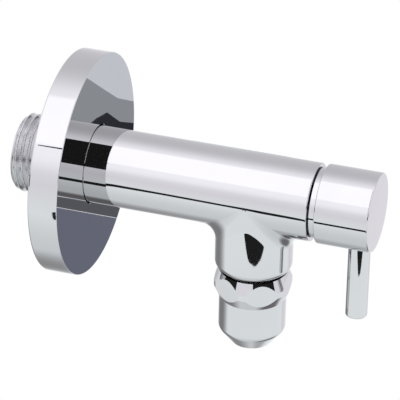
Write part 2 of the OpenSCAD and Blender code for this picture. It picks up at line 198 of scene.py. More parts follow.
def report(piece):
    """Prints a piece's size and whether its shell is closed."""
    shape = bmesh.new()
    shape.from_mesh(piece.data)
    faces = sum(len(face.verts) - 2 for face in shape.faces)
    gaps = sum(len(edge.link_faces) != 2 for edge in shape.edges)
    volume = shape.calc_volume() / MM**3
    shape.free()
    print(f"{piece.name}: {faces} triangles, {gaps} open edges, {volume:.0f} mm3")


# %% The lathe
ROUND_STEPS = 5


def tangent_length(before, corner, after, radius):
    """How far from a corner an arc of this radius starts."""
    bend = (corner - before).angle(after - corner)
    return radius * math.tan(bend / 2)


def drawn(name, points, rounded=(), round_steps=ROUND_STEPS):
    """Draws a wire through the points. rounded holds (corner number, radius) pairs."""
    bpy.ops.object.select_all(action="DESELECT")
    bpy.ops.mesh.primitive_plane_add(size=MM, location=points[0])
    piece = bpy.context.object
    piece.name = name
    bpy.ops.object.transform_apply(location=True, rotation=True, scale=True)
    edit(piece)
    bpy.ops.mesh.select_mode(type="VERT")
    bpy.ops.mesh.select_all(action="SELECT")
    bpy.ops.mesh.merge(type="CENTER")
    for here, there in zip(points, points[1:]):
        bpy.ops.mesh.extrude_region_move(TRANSFORM_OT_translate={"value": there - here})
    for number, radius in rounded:
        corner = points[number]
        length = tangent_length(points[number - 1], corner, points[number + 1], radius)
        choose(piece, "VERT", lambda middle: (middle - corner).length < FINE)
        bpy.ops.mesh.bevel(offset=length, segments=round_steps, affect="VERTICES", clamp_overlap=False)
    bpy.ops.mesh.select_all(action="SELECT")
    return piece


def turned(name, place, outline, rounded=(), axis=(0, 1, 0), steps=AROUND):
    """Spins an outline of (radius, height) corners once round an axis."""
    piece = drawn(name, [place(*corner) for corner in outline], rounded)
    bpy.ops.mesh.spin(steps=steps, angle=math.tau, center=place(0, 0), axis=axis)
    done()
    heal(piece)
    return piece


# %% Applying modifiers and finishing a surface
SHARP = math.radians(30)


def apply(piece, modifier):
    bpy.ops.object.select_all(action="DESELECT")
    piece.select_set(True)
    bpy.context.view_layer.objects.active = piece
    bpy.ops.object.modifier_apply(modifier=modifier.name)


def combine(piece, tool, how):
    """Cuts a tool away from a piece, keeps what they share or joins them, and removes the tool."""
    boolean = piece.modifiers.new(how.lower(), "BOOLEAN")
    boolean.operation = how
    boolean.solver = "EXACT"
    boolean.object = tool
    apply(piece, boolean)
    bpy.data.objects.remove(tool)


def finish_surface(piece, sharp=SHARP):
    """Smooths the round faces, keeps the edges sharp and lets large faces set the shading."""
    bpy.ops.object.select_all(action="DESELECT")
    piece.select_set(True)
    bpy.context.view_layer.objects.active = piece
    bpy.ops.object.shade_smooth_by_angle(angle=sharp)
    even = piece.modifiers.new("even shading", "WEIGHTED_NORMAL")
    even.keep_sharp = True
    apply(piece, even)
    report(piece)


# %% [markdown]
# ## The tee of the body
#
# The body is one brass casting: a tube, and a branch of the same width that leaves it downwards.
# Where two equal cylinders meet, the crease lies in two planes at 45 degrees. So both cylinders
# are cut along those planes, joined, and the crease is rounded like the real casting. A rolling
# ball leaves a rounding that is widest in the corners and runs out to nothing at the sides, so
# each crease edge gets a bevel weight that follows the same rule.

# %% Two cylinders cut to a mitre
TUBE_R = 10.3 * MM
BRANCH_END = 22.2 * MM
NECK_END = 23.2 * MM
NECK_R = 7.5 * MM


def open_cylinder(middle, depth, rotation):
    bpy.ops.object.select_all(action="DESELECT")
    bpy.ops.mesh.primitive_cylinder_add(
        vertices=AROUND, radius=TUBE_R, depth=depth, end_fill_type="NOTHING", location=middle, rotation=rotation
    )
    piece = bpy.context.object
    bpy.ops.object.transform_apply(location=True, rotation=True, scale=True)
    return piece


def cut_mitre(piece, part, waste):
    """Cuts the part's faces along both mitre planes and deletes the waste between them."""
    edit(piece)
    for slope in (1, -1):
        choose(piece, "FACE", part)
        bpy.ops.mesh.bisect(plane_co=(0, outlet_y, 0), plane_no=(0, 1, slope), threshold=FINE / 10)
    choose(piece, "FACE", waste)
    bpy.ops.mesh.delete(type="FACE")
    done()


tee = open_cylinder((0, -tube_end / 2, 0), tube_end, (math.pi / 2, 0, 0))
tee.name = "valve_tee"
cut_mitre(tee, lambda at: at.z < 0, lambda at: at.z < 0 and abs(at.y - outlet_y) < -at.z)
branch = open_cylinder((0, outlet_y, -BRANCH_END / 2), BRANCH_END, (0, 0, 0))
cut_mitre(branch, lambda at: True, lambda at: -at.z < abs(at.y - outlet_y))
print("tube faces:", len(tee.data.polygons), "branch faces:", len(branch.data.polygons))

# %% Join them and round the crease
CROTCH_ROUND = 4.5 * MM
CROTCH_STEPS = 14

bpy.ops.object.select_all(action="DESELECT")
branch.select_set(True)
tee.select_set(True)
bpy.context.view_layer.objects.active = tee
bpy.ops.object.join()
heal(tee)


def on_crease(at):
    on_plane = abs(abs(at.y - outlet_y) + at.z) < FINE
    return on_plane and at.z < FINE and abs(math.hypot(at.x, at.z) - TUBE_R) < FINE * 10


weights = tee.data.attributes.new("bevel_weight_edge", "FLOAT", "EDGE")
creases = 0
for edge in tee.data.edges:
    ends = [tee.data.vertices[number].co for number in edge.vertices]
    if all(on_crease(end) for end in ends):
        along = ends[1] - ends[0]
        depth = math.sqrt(max(0, 1 - ((ends[0].x + ends[1].x) / 2 / TUBE_R) ** 2))
        weights.data[edge.index].value = depth * math.hypot(along.x, along.z) / along.length
        creases += 1
rounding = tee.modifiers.new("crotch", "BEVEL")
rounding.limit_method = "WEIGHT"
rounding.width = CROTCH_ROUND
rounding.segments = CROTCH_STEPS
rounding.use_clamp_overlap = False
apply(tee, rounding)
tee.data.attributes.remove(tee.data.attributes["bevel_weight_edge"])
print("crease edges rounded:", creases)

# %% Set the branch back a little
SET_BACK = 0.2 * MM
BACK_END = 6.6 * MM
BACK_RIDGE = 2 * MM
BACK_RINGS = [(0.4 + 0.45 * number) * MM for number in range(33)]


def below_crease(at):
    """How far a point lies below the mitre planes, measured straight down."""
    return -at.z - abs(at.y - outlet_y)


def set_back_share(at):
    """Grows from 0 at the crease to 1 at a rounded roof line below it."""
    beside = abs(at.y - outlet_y)
    reach = BACK_END + math.hypot(beside, BACK_RIDGE) - BACK_RIDGE - beside
    return min(1, max(0, below_crease(at) / reach))


edit(tee)
for depth in BACK_RINGS:
    choose(tee, "FACE", lambda at: below_crease(at) > 0)
    bpy.ops.mesh.bisect(plane_co=(0, 0, -depth), plane_no=(0, 0, 1), threshold=FINE / 10)
done()
for corner in tee.data.vertices:
    corner.co.x *= 1 - set_back_share(corner.co) * SET_BACK / TUBE_R
print("vertices of the tee:", len(tee.data.vertices))

# %% [markdown]
# The tee is still open at its three ends. The front end gets a small chamfer. The branch ends in
# a generous rounding and steps in to the neck that carries the outlet thread. Each step is an
# extrusion of the open edge loop, moved along the axis or scaled towards it.

# %% Close the ends of the tee
FRONT_ROUND = 0.3 * MM
FRONT_ROUND_STEPS = 4
BRANCH_ROUND = 2.2 * MM
BRANCH_ROUND_STEPS = 8


def near(value, wanted):
    return abs(value - wanted) < FINE * 10


def step_loop(scale, centre, move):
    """Extrudes the selected open loop, scales it about a centre and moves it."""
    bpy.ops.mesh.extrude_edges_move()
    bpy.ops.transform.resize(value=(scale, scale, scale), center_override=centre)
    bpy.ops.transform.translate(value=move)


edit(tee)
for end in (0, -tube_end):
    choose(tee, "EDGE", lambda at: near(at.y, end) and math.hypot(at.x, at.z) > TUBE_R * 0.99)
    bpy.ops.mesh.edge_face_add()
choose(tee, "EDGE", lambda at: near(at.y, -tube_end))
bpy.ops.mesh.bevel(offset=FRONT_ROUND, segments=FRONT_ROUND_STEPS, affect="EDGES", clamp_overlap=False)
choose(tee, "EDGE", lambda at: near(at.z, -BRANCH_END))
step_loop(NECK_R / TUBE_R, on_outlet(0, BRANCH_END), (0, 0, 0))
choose(tee, "EDGE", lambda at: near(at.z, -BRANCH_END) and (at - on_outlet(0, BRANCH_END)).length < NECK_R * 1.01)
step_loop(1, on_outlet(0, BRANCH_END), (0, 0, BRANCH_END - NECK_END))
bpy.ops.mesh.edge_face_add()
choose(tee, "EDGE", lambda at: near(at.z, -BRANCH_END) and (at - on_outlet(0, BRANCH_END)).length > TUBE_R * 0.95)
bpy.ops.mesh.bevel(offset=BRANCH_ROUND, segments=BRANCH_ROUND_STEPS, affect="EDGES", clamp_overlap=False)
done()
heal(tee)
report(tee)

# %% [markdown]
# ## The bores
#
# Inside, the tube has the inlet bore, the throat under the valve seat, the chamber for the
# ceramic discs and a thread and seat for the headwork. The branch has a cast core and the water
# way. Both are turned as solid cores and then cut away, so the casting is hollow like the real
# one, and someone looking into the inlet sees the seat.

# %% Cores for the water ways
OVER = 1 * MM
BORE_R = 7 * MM
SEAT = -outlet_y - 7.7 * MM
THROAT_R = 4.8 * MM
THROAT_START = SEAT - 4 * MM
CHAMBER_R = 7.6 * MM
CHAMBER_END = SEAT + 14.4 * MM
HEAD_THREAD_R = 8.05 * MM
FLANGE_SEAT = tube_end - 2 * MM
FLANGE_R = 8.85 * MM
CORE_END = 17.8 * MM
SPIGOT_BORE_R = 4 * MM
SOCKET_TOP = 21.8 * MM
TUBE_HOLE_R = mounts["outlet_tube"]["dims"]["r_mm"] * MM
MOUTH_TOP = 28.2 * MM
MOUTH_R = 6.5 * MM
SPIGOT_END = 30.2 * MM

inner_tube = turned("inner_tube", on_body, [
    (0, -thread_end - OVER), (BORE_R, -thread_end - OVER), (BORE_R, THROAT_START), (THROAT_R, THROAT_START),
    (THROAT_R, SEAT), (CHAMBER_R, SEAT), (CHAMBER_R, CHAMBER_END), (HEAD_THREAD_R, CHAMBER_END),
    (HEAD_THREAD_R, FLANGE_SEAT), (FLANGE_R, FLANGE_SEAT), (FLANGE_R, tube_end + OVER), (0, tube_end + OVER),
])
outlet_way = turned("outlet_way", on_outlet, [
    (0, 0), (BORE_R, 0), (BORE_R, CORE_END), (SPIGOT_BORE_R, CORE_END + 0.4 * MM), (SPIGOT_BORE_R, SOCKET_TOP),
    (TUBE_HOLE_R, SOCKET_TOP), (TUBE_HOLE_R, NECK_END + OVER), (0, NECK_END + OVER),
], axis=(0, 0, 1), steps=96)
combine(tee, inner_tube, "DIFFERENCE")
combine(tee, outlet_way, "DIFFERENCE")
finish_surface(tee)

# %% [markdown]
# ## Threads
#
# A pipe thread of this kind has flanks at 55 degrees with round crests and roots. One turn's
# outline is drawn, its corners are rounded, and a Screw modifier winds it upwards by one pitch a
# turn, right-handed. Both ends are cut flat, and the blank that the thread was cut from is then
# kept only where both overlap, which gives the chamfered first turn.

# %% Winding a thread
THREAD_STEPS = 96
DEPTH_SHARE = 0.640327
ROUND_SHARE = 0.137329
FLAT_SHARE = 1 / 6


def wound(name, crest, pitch, length):
    """A right-hand thread along +Z, from z = 0 to its length, as a solid rod."""
    root = crest - DEPTH_SHARE * pitch
    flat = FLAT_SHARE * pitch / 2
    corners = [(root, 0), (root, flat), (crest, pitch / 2 - flat), (crest, pitch / 2 + flat),
               (root, pitch - flat), (root, pitch)]
    points = [Vector((radius, 0, height)) for radius, height in corners]
    bends = [(number, ROUND_SHARE * pitch) for number in range(1, 5)]
    piece = drawn(name, points, bends, round_steps=2)
    done()
    winding = piece.modifiers.new("winding", "SCREW")
    winding.angle = math.tau
    winding.screw_offset = pitch
    winding.iterations = math.ceil(length / pitch) + 2
    winding.steps = winding.render_steps = THREAD_STEPS
    apply(piece, winding)
    heal(piece)
    start = pitch * 1.037
    edit(piece)
    for height, side_kept in ((start, {"clear_inner": True}), (start + length, {"clear_outer": True})):
        bpy.ops.mesh.select_all(action="SELECT")
        bpy.ops.mesh.bisect(
            plane_co=(0, 0, height), plane_no=(0, 0, 1), use_fill=True, threshold=FINE / 10, **side_kept
        )
    bpy.ops.mesh.select_all(action="SELECT")
    bpy.ops.transform.translate(value=(0, 0, -start))
    done()
    heal(piece)
    return piece


def lay(piece, place, rotation):
    """Moves and turns a piece that was made at the origin, and puts the move into its mesh."""
    piece.location = place
    piece.rotation_euler = rotation
    bpy.ops.object.select_all(action="DESELECT")
    piece.select_set(True)
    bpy.context.view_layer.objects.active = piece
    bpy.ops.object.transform_apply(location=True, rotation=True, scale=True)


# %% The inlet thread behind the rosette
INLET_PITCH = 1.814 * MM
INLET_CHAMFER = 1.1 * MM
EDGE_BREAK = 0.4 * MM

inlet_thread = wound("inlet_thread", thread_r, INLET_PITCH, thread_end)
lay(inlet_thread, (0, 0, 0), (-math.pi / 2, 0, 0))
blank = turned("inlet_blank", on_body, [
    (BORE_R, 0), (thread_r + OVER, 0), (thread_r + OVER, -thread_end + INLET_CHAMFER + OVER),
    (thread_r - INLET_CHAMFER, -thread_end), (BORE_R + EDGE_BREAK, -thread_end),
    (BORE_R, -thread_end + EDGE_BREAK), (BORE_R, 0),
], steps=AROUND)
combine(inlet_thread, blank, "INTERSECT")
finish_surface(inlet_thread)

# %% The outlet thread under the nut
OUTLET_PITCH = 1.337 * MM
OUTLET_THREAD_R = 8.33 * MM
OUTLET_CHAMFER = 0.7 * MM

outlet_thread = wound("outlet_thread", OUTLET_THREAD_R, OUTLET_PITCH, SPIGOT_END - NECK_END)
lay(outlet_thread, on_outlet(0, NECK_END), (math.pi, 0, 0))
blank = turned("outlet_blank", on_outlet, [
    (TUBE_HOLE_R, NECK_END), (OUTLET_THREAD_R + OVER, NECK_END),
    (OUTLET_THREAD_R + OVER, SPIGOT_END - OUTLET_CHAMFER - OVER), (OUTLET_THREAD_R - OUTLET_CHAMFER, SPIGOT_END),
    (MOUTH_R, SPIGOT_END), (TUBE_HOLE_R, MOUTH_TOP), (TUBE_HOLE_R, NECK_END),
], axis=(0, 0, 1))
combine(outlet_thread, blank, "INTERSECT")
finish_surface(outlet_thread)

# %% [markdown]
# ## The rosette
#
# The rosette is a flat brass dish, turned and polished, with a collar inside that slides on the
# tube. A rubber ring in the collar's groove holds it where it is pushed. It is turned in one go
# from its section. Its outer edges are rounded by half a millimetre, which draws the thin bright
# line round its face.

# %% Turn the rosette
ROSETTE_WALL = 1.4 * MM
ROSETTE_ROUND = 0.5 * MM
ROSETTE_FRONT_ROUND = 0.2 * MM
COLLAR_R = 13.5 * MM
COLLAR_BACK = rosette_front - 5.6 * MM
HOLE_R = TUBE_R + 0.25 * MM
GRIP_LOW, GRIP_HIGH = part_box("rosette_grip_ring")
GROOVE_R = GRIP_HIGH.x + 0.05 * MM
HOLE_BREAK = 0.12 * MM
INNER_ROUND = 0.9 * MM

rosette = turned("polished_rosette", on_body, [
    (HOLE_R, COLLAR_BACK), (HOLE_R, -GRIP_HIGH.y), (GROOVE_R, -GRIP_HIGH.y), (GROOVE_R, -GRIP_LOW.y),
    (HOLE_R, -GRIP_LOW.y), (HOLE_R, rosette_front - HOLE_BREAK), (HOLE_R + HOLE_BREAK, rosette_front),
    (rosette_r, rosette_front), (rosette_r, 0), (rosette_r - ROSETTE_WALL, 0),
    (rosette_r - ROSETTE_WALL, rosette_front - ROSETTE_WALL), (COLLAR_R, rosette_front - ROSETTE_WALL),
    (COLLAR_R, COLLAR_BACK), (HOLE_R, COLLAR_BACK),
], rounded=[(7, ROSETTE_FRONT_ROUND), (8, ROSETTE_ROUND), (10, INNER_ROUND), (11, INNER_ROUND)], steps=256)
finish_surface(rosette)

# %% [markdown]
# ## The cap and its lever pin
#
# The cap is a turned cup. Its bottom is the round front face, and inside, a splined boss sits on
# the spindle. The lever pin is a plain rod, screwed into the cap with a thinner stud and sunk a
# little into a seat. The splines come from a cylinder whose vertices are scaled in by turns.

# %% Turn the cap
CAP_BACK_ROUND = 0.3 * MM
CAP_ROUND = 0.4 * MM
CAP_BORE_R = 9.3 * MM
SPINDLE_R = 4 * MM
PLAY = 0.05 * MM
spindle_end = -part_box("spindle")[0].y
SPLINE_START = spindle_end - 5.2 * MM
SPLINE_END = spindle_end + 0.4 * MM

cap = turned("polished_cap", on_body, [
    (0, cap_front), (cap_r, cap_front), (cap_r, cap_back), (CAP_BORE_R, cap_back), (CAP_BORE_R, SPLINE_START),
    (0, SPLINE_START),
], rounded=[(1, CAP_ROUND), (2, CAP_BACK_ROUND), (4, CAP_ROUND)], steps=256)
report(cap)

# %% Cut the splines, the stud hole and the pin's seat
SPLINE_TEETH = 20
SPLINE_DEPTH = 0.4 * MM
TOOTH = math.tau / SPLINE_TEETH
STUD_R = 2.5 * MM
PIN_SEAT = 0.8 * MM
PIN_R = pin_high.x

bpy.ops.object.select_all(action="DESELECT")
bpy.ops.mesh.primitive_cylinder_add(
    vertices=SPLINE_TEETH * 4, radius=SPINDLE_R + PLAY, depth=SPLINE_END - SPLINE_START + OVER,
    location=on_body(0, (SPLINE_END + SPLINE_START - OVER) / 2), rotation=(math.pi / 2, 0, 0),
)
splines = bpy.context.object
bpy.ops.object.transform_apply(location=True, rotation=True, scale=True)
edit(splines)
valleys = choose(splines, "VERT", lambda at: math.cos(SPLINE_TEETH * (math.atan2(at.z, at.x) + TOOTH / 8)) < 0)
shrink = 1 - SPLINE_DEPTH / (SPINDLE_R + PLAY)
bpy.ops.transform.resize(value=(shrink, 1, shrink), center_override=(0, 0, 0))
done()
stud_hole = turned("stud_hole", on_pin, [
    (0, 0), (STUD_R + PLAY, 0), (STUD_R + PLAY, cap_r - PIN_SEAT),
    (PIN_R + PLAY, cap_r - PIN_SEAT), (PIN_R + PLAY, cap_r + OVER), (0, cap_r + OVER),
], axis=(0, 0, 1), steps=96)
combine(cap, splines, "DIFFERENCE")
combine(cap, stud_hole, "DIFFERENCE")
print("vertices scaled in for the splines:", valleys)
finish_surface(cap)

# %% Turn the lever pin
PIN_ROUND = 0.4 * MM
STUD_TOP = -pin_high.z
PIN_END = -pin_low.z

lever_pin = turned("polished_lever_pin", on_pin, [
    (0, STUD_TOP), (STUD_R, STUD_TOP), (STUD_R, cap_r - PIN_SEAT), (PIN_R, cap_r - PIN_SEAT),
    (PIN_R, PIN_END), (0, PIN_END),
], rounded=[(4, PIN_ROUND)], axis=(0, 0, 1), steps=128)
finish_surface(lever_pin)

# %% [markdown]
# ## The ring between body and cap
#
# A thin ring covers the headwork's flange. It ends in a lip that reaches into the cap, so the gap
# shows a bright step with a dark line on each side.

# %% Turn the cover ring
RING_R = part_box("cover_ring")[1].x
RING_END = -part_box("cover_ring")[0].y
RING_HEX_R = 8.133 * MM
RING_SHELF = 69.22 * MM
# The ring's foot has a shallow groove. Its faces are later coloured black as painted shade, for the dark line where the
# ring meets the body.
FOOT_R = RING_R - 0.3 * MM
FOOT_END = tube_end + 0.35 * MM

cover_ring = turned("polished_cover_ring", on_body, [
    (FLANGE_R, tube_end), (FOOT_R, tube_end), (FOOT_R, FOOT_END), (RING_R, FOOT_END), (RING_R, RING_END),
    (RING_HEX_R, RING_END),
    (RING_HEX_R, RING_SHELF), (FLANGE_R, RING_SHELF), (FLANGE_R, tube_end),
])
finish_surface(cover_ring)

# %% [markdown]
# ## The compression nut
#
# The nut is a hexagon bar turned down at both ends. Turning it to a double cone leaves the round
# arcs on its flats, so here too a hexagon is kept only where it overlaps a turned blank. A long
# sleeve with a cone hides the compression ring. Its bore is turned plain, a little wider than the
# outlet thread, and narrows to the tube's hole.

# %% Hexagon and turned blank
NUT_FLATS_R = 9.5 * MM
NUT_HEX_END = nut_top + 8.1 * MM
NUT_MIDDLE = (nut_top + NUT_HEX_END) / 2
NUT_CORNER_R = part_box("compression_nut")[1].x
NUT_CORNER_LAND = 0.8 * MM
NUT_FACE_R = 9.25 * MM
SLEEVE_R = 8.95 * MM
SLEEVE_END = 40.2 * MM
SLEEVE_END_R = 5.6 * MM
SLEEVE_ROUND = 2 * MM
NUT_EDGE_BREAK = 0.12 * MM
NUT_BORE_R = OUTLET_THREAD_R + PLAY
PRESS_TOP = 30.6 * MM
PRESS_END = 33.2 * MM

bpy.ops.object.select_all(action="DESELECT")
bpy.ops.mesh.primitive_cylinder_add(
    vertices=6, radius=NUT_FLATS_R / math.cos(math.pi / 6), depth=nut_end - nut_top,
    location=on_outlet(0, (nut_end + nut_top) / 2), rotation=(0, 0, math.pi / 6 * 3),
)
nut = bpy.context.object
nut.name = "polished_nut"
bpy.ops.object.transform_apply(location=True, rotation=True, scale=True)
edit(nut)
corners = choose(nut, "EDGE", lambda at: math.hypot(at.x, at.y - outlet_y) > NUT_FLATS_R * 1.1)
bpy.ops.mesh.bevel(offset=NUT_EDGE_BREAK, segments=2, affect="EDGES", clamp_overlap=False)
done()
nut_blank = turned("nut_blank", on_outlet, [
    (0, nut_top), (NUT_FACE_R, nut_top), (NUT_CORNER_R, NUT_MIDDLE - NUT_CORNER_LAND),
    (NUT_CORNER_R, NUT_MIDDLE + NUT_CORNER_LAND), (SLEEVE_R, NUT_HEX_END), (SLEEVE_R, SLEEVE_END),
    (SLEEVE_END_R, nut_end), (0, nut_end),
], rounded=[(5, SLEEVE_ROUND)], axis=(0, 0, 1), steps=256)
combine(nut, nut_blank, "INTERSECT")
nut_bore = turned("nut_bore", on_outlet, [
    (0, nut_top - OVER), (NUT_BORE_R, nut_top - OVER), (NUT_BORE_R, PRESS_TOP), (MOUTH_R, PRESS_TOP),
    (TUBE_HOLE_R, PRESS_END), (TUBE_HOLE_R, nut_end + OVER), (0, nut_end + OVER),
], axis=(0, 0, 1))
combine(nut, nut_bore, "DIFFERENCE")
print("corners of the hexagon:", corners)
finish_surface(nut, sharp=math.radians(12))

# %% [markdown]
# ## Chrome
#
# Chrome is a mirror, so almost all that the eye sees on it is the room. Three things still belong
# to the metal. Its own colour is a slightly blue grey. Polishing leaves broad, very low waves that
# make long reflections wobble. And handling leaves a faint haze in soft patches. Waves and haze
# are two node groups, because the threads, brass and steel use them too, with other values.

# %% Building node groups
def node_group(name, inputs, outputs):
    """An empty node group with named value sockets. inputs and outputs hold (name, kind, value)."""
    group = bpy.data.node_groups.new(name, "ShaderNodeTree")
    for direction, sockets in (("INPUT", inputs), ("OUTPUT", outputs)):
        for socket_name, kind, value in sockets:
            socket = group.interface.new_socket(socket_name, in_out=direction, socket_type=f"NodeSocket{kind}")
            if value is not None:
                socket.default_value = value
    return group, group.nodes.new("NodeGroupInput"), group.nodes.new("NodeGroupOutput")


def add_node(tree, kind, values=(), **settings):
    """Adds a node, sets its plain settings, then its input values by name or number."""
    node = tree.nodes.new(kind)
    for setting, value in settings.items():
        setattr(node, setting, value)
    for socket, value in dict(values).items():
        node.inputs[socket].default_value = value
    return node


# %% The polishing waves
waves, waves_in, waves_out = node_group(
    "polishing_waves",
    [("Vector", "Vector", None), ("Wave Length", "Float", 0.016), ("Depth", "Float", 0.000004)],
    [("Height", "Float", None)],
)
per_metre = add_node(waves, "ShaderNodeMath", {0: 1.0}, operation="DIVIDE")
broad = add_node(waves, "ShaderNodeTexNoise", {"Detail": 1.0, "Roughness": 0.35, "Distortion": 0.2})
centred = add_node(waves, "ShaderNodeMath", {1: 0.5}, operation="SUBTRACT")
height = add_node(waves, "ShaderNodeMath", operation="MULTIPLY")
waves.links.new(waves_in.outputs["Wave Length"], per_metre.inputs[1])
waves.links.new(waves_in.outputs["Vector"], broad.inputs["Vector"])
waves.links.new(per_metre.outputs[0], broad.inputs["Scale"])
waves.links.new(broad.outputs["Fac"], centred.inputs[0])
waves.links.new(centred.outputs[0], height.inputs[0])
waves.links.new(waves_in.outputs["Depth"], height.inputs[1])
waves.links.new(height.outputs[0], waves_out.inputs["Height"])
print("group:", waves.name)

# %% The handling haze
haze, haze_in, haze_out = node_group(
    "handling_haze",
    [("Vector", "Vector", None), ("Patch Size", "Float", 0.02), ("Clean Roughness", "Float", 0.04),
     ("Hazy Roughness", "Float", 0.1), ("Clean Color", "Color", None), ("Hazy Color", "Color", None)],
    [("Color", "Color", None), ("Roughness", "Float", None), ("Haze", "Float", None)],
)
per_patch = add_node(haze, "ShaderNodeMath", {0: 1.0}, operation="DIVIDE")
cloud = add_node(haze, "ShaderNodeTexNoise", {"Detail": 4.0, "Roughness": 0.6, "Distortion": 0.4})
soft = add_node(haze, "ShaderNodeMapRange", {"From Min": 0.45, "From Max": 0.75}, interpolation_type="SMOOTHSTEP")
rough = add_node(haze, "ShaderNodeMapRange")
tint = add_node(haze, "ShaderNodeMix", data_type="RGBA")
haze.links.new(haze_in.outputs["Patch Size"], per_patch.inputs[1])
haze.links.new(haze_in.outputs["Vector"], cloud.inputs["Vector"])
haze.links.new(per_patch.outputs[0], cloud.inputs["Scale"])
haze.links.new(cloud.outputs["Fac"], soft.inputs["Value"])
haze.links.new(soft.outputs["Result"], rough.inputs["Value"])
haze.links.new(haze_in.outputs["Clean Roughness"], rough.inputs["To Min"])
haze.links.new(haze_in.outputs["Hazy Roughness"], rough.inputs["To Max"])
haze.links.new(soft.outputs["Result"], tint.inputs["Factor"])
haze.links.new(haze_in.outputs["Clean Color"], tint.inputs[6])
haze.links.new(haze_in.outputs["Hazy Color"], tint.inputs[7])
haze.links.new(tint.outputs[2], haze_out.inputs["Color"])
haze.links.new(rough.outputs["Result"], haze_out.inputs["Roughness"])
haze.links.new(soft.outputs["Result"], haze_out.inputs["Haze"])
print("group:", haze.name)


# %% Making a material from the groups
def surface(name, clean, hazy, roughness, wave, patch=0.02, metallic=1.0, ior=1.5):
    """A material. roughness is (clean, hazy) and wave is (length, depth), both in metres."""
    material = bpy.data.materials.new(name)
    material.use_nodes = True
    tree = material.node_tree
    shader = tree.nodes["Principled BSDF"]
    shader.inputs["Metallic"].default_value = metallic
    shader.inputs["IOR"].default_value = ior
    place = add_node(tree, "ShaderNodeTexCoord")
    look = add_node(tree, "ShaderNodeGroup", node_tree=haze)
    look.inputs["Patch Size"].default_value = patch
    look.inputs["Clean Color"].default_value = (*clean, 1)
    look.inputs["Hazy Color"].default_value = (*hazy, 1)
    look.inputs["Clean Roughness"].default_value, look.inputs["Hazy Roughness"].default_value = roughness
    relief = add_node(tree, "ShaderNodeGroup", node_tree=waves)
    relief.inputs["Wave Length"].default_value, relief.inputs["Depth"].default_value = wave
    bump = add_node(tree, "ShaderNodeBump", {"Strength": 1.0, "Distance": 1.0})
    for group in (look, relief):
        tree.links.new(place.outputs["Object"], group.inputs["Vector"])
    tree.links.new(look.outputs["Color"], shader.inputs["Base Color"])
    tree.links.new(look.outputs["Roughness"], shader.inputs["Roughness"])
    tree.links.new(relief.outputs["Height"], bump.inputs["Height"])
    tree.links.new(bump.outputs["Normal"], shader.inputs["Normal"])
    return material


CHROME_CLEAN = (0.58, 0.583, 0.59)
CHROME_HAZY = (0.56, 0.565, 0.575)
chrome = surface("bright_chrome", CHROME_CLEAN, CHROME_HAZY, (0.02, 0.035), (0.016, 0.00001))
thread_chrome = surface("thin_chrome", (0.66, 0.66, 0.67), (0.55, 0.55, 0.56), (0.18, 0.3), (0.002, 0.00001), 0.004)
brass = surface("cut_brass", (0.8, 0.6, 0.28), (0.68, 0.49, 0.22), (0.2, 0.38), (0.001, 0.000004), 0.005)
steel = surface("spring_steel", (0.6, 0.61, 0.63), (0.5, 0.5, 0.52), (0.25, 0.4), (0.001, 0.000002), 0.004)
rubber = surface("black_rubber", (0.016, 0.016, 0.017), (0.035, 0.035, 0.037), (0.5, 0.75), (0.0006, 0.00001), 0.003, 0)
ceramic = surface("lapped_ceramic", (0.86, 0.85, 0.82), (0.8, 0.79, 0.76), (0.1, 0.2), (0.003, 0.000001), 0.006, 0, 1.7)
plastic = surface("white_plastic", (0.78, 0.78, 0.76), (0.7, 0.7, 0.68), (0.35, 0.5), (0.002, 0.000006), 0.005, 0)
print("materials:", [m.name for m in (chrome, thread_chrome, brass, steel, rubber, ceramic, plastic)])

# %% Painted shade in the groove of the cover ring
# A node group that colours everything past the groove's end near black: painted shade in the groove.
groove_shade, groove_shade_in, groove_shade_out = node_group(
    "painted_groove_shade",
    [("Vector", "Vector", None), ("Groove End", "Float", 0.0), ("Color", "Color", None), ("Groove Color", "Color", None)],
    [("Color", "Color", None)],
)
along = add_node(groove_shade, "ShaderNodeSeparateXYZ")
in_groove = add_node(groove_shade, "ShaderNodeMath", operation="GREATER_THAN")
shaded_colour = add_node(groove_shade, "ShaderNodeMix", data_type="RGBA")
groove_shade.links.new(groove_shade_in.outputs["Vector"], along.inputs["Vector"])
groove_shade.links.new(along.outputs["Y"], in_groove.inputs[0])
groove_shade.links.new(groove_shade_in.outputs["Groove End"], in_groove.inputs[1])
groove_shade.links.new(in_groove.outputs[0], shaded_colour.inputs["Factor"])
groove_shade.links.new(groove_shade_in.outputs["Color"], shaded_colour.inputs[6])
groove_shade.links.new(groove_shade_in.outputs["Groove Color"], shaded_colour.inputs[7])
groove_shade.links.new(shaded_colour.outputs[2], groove_shade_out.inputs["Color"])

# The near black of the groove is painted shade, not a colour of the chrome itself.
GROOVE_SHADE_COLOUR = (0.03, 0.03, 0.035)
GROOVE_LAND = 0.02 * MM
# The cover ring's chrome, with painted shade in the groove at its foot.
ring_chrome = surface("grooved_chrome", CHROME_CLEAN, CHROME_HAZY, (0.02, 0.035), (0.016, 0.00001))
tree = ring_chrome.node_tree
groove_shade_node = add_node(tree, "ShaderNodeGroup", node_tree=groove_shade)
groove_shade_node.inputs["Groove End"].default_value = -(FOOT_END + GROOVE_LAND)
groove_shade_node.inputs["Groove Color"].default_value = (*GROOVE_SHADE_COLOUR, 1)
base = tree.nodes["Principled BSDF"].inputs["Base Color"]
tree.links.new(base.links[0].from_socket, groove_shade_node.inputs["Color"])
tree.links.new(tree.nodes["Texture Coordinate"].outputs["Object"], groove_shade_node.inputs["Vector"])
tree.links.new(groove_shade_node.outputs["Color"], base)
print("material:", ring_chrome.name)

# %% [markdown]
# ## Dress the valve
#
# Each new piece takes a material, rides on the body that the motion model moves, and hides the
# imported node that it stands for. The parts inside stay as they were packed and only get their
# finish.

